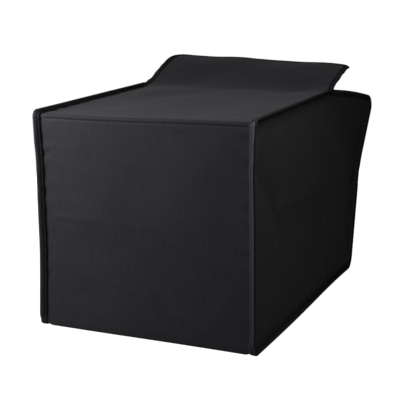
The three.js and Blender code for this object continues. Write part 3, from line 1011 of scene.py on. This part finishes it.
class TENT_OT_sides(bpy.types.Operator):
    """The two side panels, each with its free upper rear corner"""

    bl_idname = "tent.sides"
    bl_label = "Side cloth"

    def execute(self, context):
        scene = context.scene
        sizes = scene.tent_sizes
        edge = TAPE_W - MM
        columns = stops(
            (FRONT - LIP, FRONT, 2.9 * MM), (FRONT, FRONT + 12 * MM, 2.4 * MM),
            (FRONT + 12 * MM, MOUTH_LINE, 3.6 * MM), (MOUTH_LINE, MOUTH_LINE + edge, 3 * MM),
        )
        rows = stops(
            (FLOOR_SEAM - LIP, FLOOR_SEAM, 2.9 * MM), (FLOOR_SEAM, 12 * MM, 2.4 * MM),
            (12 * MM, HEIGHT, 3.6 * MM), (HEIGHT, HEIGHT + LIP, 2.9 * MM),
        )
        for hand, side in SIDES:
            bm = cloth_grid(columns, rows, lambda y, z: side_surface(y, z, side, sizes))
            if side < 0:
                bmesh.ops.reverse_faces(bm, faces=bm.faces)
            piece = finished(hand + "_side_cloth", bm, "cloth", scene)
            thicken(piece, sizes.cloth)
            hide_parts(hand + "_side_panel", hand + "_corner_flap")
            bend_with_corner(piece)
        return {"FINISHED"}


class TENT_OT_seams(bpy.types.Operator):
    """The binding and stitching of the seams that join the sides to the wrap"""

    bl_idname = "tent.seams"
    bl_label = "Seam bindings"

    def execute(self, context):
        scene = context.scene
        sizes = scene.tent_sizes
        leg = seam_leg(sizes)
        for hand, side in SIDES:
            path = side_path(side, seam_corners())
            nodes = [hand + name for name in ("_roof_binding", "_front_binding", "_floor_binding")]
            name = hand + "_seam_binding"
            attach(tape_piece(name, scene, path, leg, sizes, nodes), "shell")
            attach(stitch_row(hand + "_seam_stitches", scene, path, leg, sizes), "shell")
        return {"FINISHED"}


class TENT_OT_edges(bpy.types.Operator):
    """The binding and stitching of the free edges: both sides, the roof flap and the floor"""

    bl_idname = "tent.edges"
    bl_label = "Edge bindings"

    def execute(self, context):
        scene = context.scene
        sizes = scene.tent_sizes
        leg = edge_leg(sizes)
        for hand, side in SIDES:
            path = side_path(side, free_corners())
            nodes = [hand + "_mouth_binding", hand + "_corner_flap_binding"]
            tape = tape_piece(hand + "_edge_binding", scene, path, leg, sizes, nodes)
            bend_with_corner(tape)
            row = stitch_row(hand + "_edge_stitches", scene, path, leg, sizes)
            bend_with_corner(row)
        path = flap_path(sizes)
        bend_with_flap(tape_piece("flap_edge_binding", scene, path, leg, sizes, ["flap_binding"]))
        bend_with_flap(stitch_row("flap_edge_stitches", scene, path, leg, sizes))
        path = floor_edge_path(sizes)
        nodes = ["floor_mouth_binding"]
        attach(tape_piece("floor_edge_binding", scene, path, leg, sizes, nodes), "shell")
        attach(stitch_row("floor_edge_stitches", scene, path, leg, sizes), "shell")
        return {"FINISHED"}


# ---- stage ---------------------------------------------------------------------------------------

BACKDROP = 1.0  # as bright as paper gets, on the floor and behind it
DIM = 0.006  # strength of the light from all around

# The camera stands a little to the right of the end wall and looks slightly down on the roof.
CAMERA_PLACE = (0.5225, FRONT - 1.008, 0.4073)
CAMERA_TURN = (math.radians(90 - 11.41), math.radians(-0.387), math.radians(23.954))
CAMERA_LENS = 85.5  # on a sensor 36 mm wide

# Each light's name, place, what it faces, its size, watts and colour.
LIGHTS = (
    ("key", (-0.43, FRONT - 0.29, 0.45), (-0.1, FRONT, 0.2), (0.3, 0.3), 3.7, "#f6f7ff"),
    ("top", (-0.2, FRONT + 0.1, 0.8), (0, -0.1, 0.28), (0.5, 0.5), 0.1, "#ffeeea"),
    ("fill", (0.36, FRONT + 0.04, 0.5), (0.14, -0.2, 0.15), (0.25, 0.25), 0.5, "#fbfaff"),
    ("back", (-0.6, 0.9, 0.14), (0, 0, 0.14), (0.5, 0.2), 6, "#ffffff"),
)


def seen_only(tree, shown, elsewhere):
    """A value for what the camera sees directly, and another for the light it gives."""
    ray = add(tree, "ShaderNodeLightPath").outputs["Is Camera Ray"]
    return ranged(tree, ray, 0.0, 1.0, elsewhere, shown)


def white_paper():
    made, tree = start_material("matt white paper, lit from below")
    paper = add(tree, "ShaderNodeBsdfPrincipled", {
        "Base Color": linear("#8c8c8c"),
        "Roughness": 0.9,
        "Emission Color": linear("#ffffff"),
        "Emission Strength": seen_only(tree, BACKDROP, 0.0),
    })
    finish_material(tree, paper)
    return made


def studio_world():
    world = bpy.data.worlds.new("studio")
    world.use_nodes = True
    tree = world.node_tree
    backdrop = tree.nodes["Background"]
    backdrop.inputs["Color"].default_value = linear("#ffffff")
    tree.links.new(seen_only(tree, BACKDROP, DIM), backdrop.inputs["Strength"])
    return world


def area_light(scene, name, place, target, size, energy, colour):
    data = bpy.data.lights.new(name, "AREA")
    data.shape = "RECTANGLE"
    data.color = linear(colour)[:3]
    data.size, data.size_y = size
    data.energy = energy
    made = bpy.data.objects.new(name, data)
    scene.collection.objects.link(made)
    made.location = place
    made.rotation_euler = (Vector(target) - Vector(place)).to_track_quat("-Z", "Y").to_euler()


def main_camera(scene):
    lens = bpy.data.cameras.new("camera")
    lens.sensor_width = 36
    lens.lens = CAMERA_LENS
    made = bpy.data.objects.new("camera", lens)
    scene.collection.objects.link(made)
    made.rotation_euler = CAMERA_TURN
    made.location = CAMERA_PLACE
    return made


class TENT_OT_stage(bpy.types.Operator):
    """A pale floor, soft studio light and the camera"""

    bl_idname = "tent.stage"
    bl_label = "Stage"

    def execute(self, context):
        scene = context.scene
        bm = bmesh.new()
        bmesh.ops.create_grid(bm, x_segments=1, y_segments=1, size=12)
        mesh = bpy.data.meshes.new("studio_floor")
        bm.to_mesh(mesh)
        bm.free()
        mesh.materials.append(white_paper())
        floor = bpy.data.objects.new("studio_floor", mesh)
        scene.collection.objects.link(floor)
        scene.world = studio_world()
        for light in LIGHTS:
            area_light(scene, *light)
        scene.view_settings.view_transform = "Standard"
        scene.camera = main_camera(scene)
        return {"FINISHED"}


class TENT_PT_panel(bpy.types.Panel):
    """Lists the tent's pieces in the order in which they are made"""

    bl_idname = "TENT_PT_panel"
    bl_label = "Printer Enclosure Tent"
    bl_space_type = "VIEW_3D"
    bl_region_type = "UI"
    bl_category = "Tent"

    def draw(self, context):
        layout = self.layout
        for group in (context.scene.tent_sizes, context.scene.tent_colours):
            for name in group.bl_rna.properties.keys():
                if name not in ("rna_type", "name"):
                    layout.prop(group, name)
        for step in STEPS:
            layout.operator(step.bl_idname)


STEPS = (TENT_OT_stage, TENT_OT_wrap, TENT_OT_sides, TENT_OT_seams, TENT_OT_edges)
CLASSES = (TentSizes, TentColours, *STEPS, TENT_PT_panel)


def register():
    for made in CLASSES:
        bpy.utils.register_class(made)
    bpy.types.Scene.tent_sizes = bpy.props.PointerProperty(type=TentSizes)
    bpy.types.Scene.tent_colours = bpy.props.PointerProperty(type=TentColours)


def unregister():
    del bpy.types.Scene.tent_colours
    del bpy.types.Scene.tent_sizes
    for made in reversed(CLASSES):
        bpy.utils.unregister_class(made)


def main():
    register()
    bpy.ops.tent.stage()
    bpy.ops.tent.wrap()
    bpy.ops.tent.sides()
    bpy.ops.tent.seams()
    bpy.ops.tent.edges()


if __name__ == "__main__":
    main()
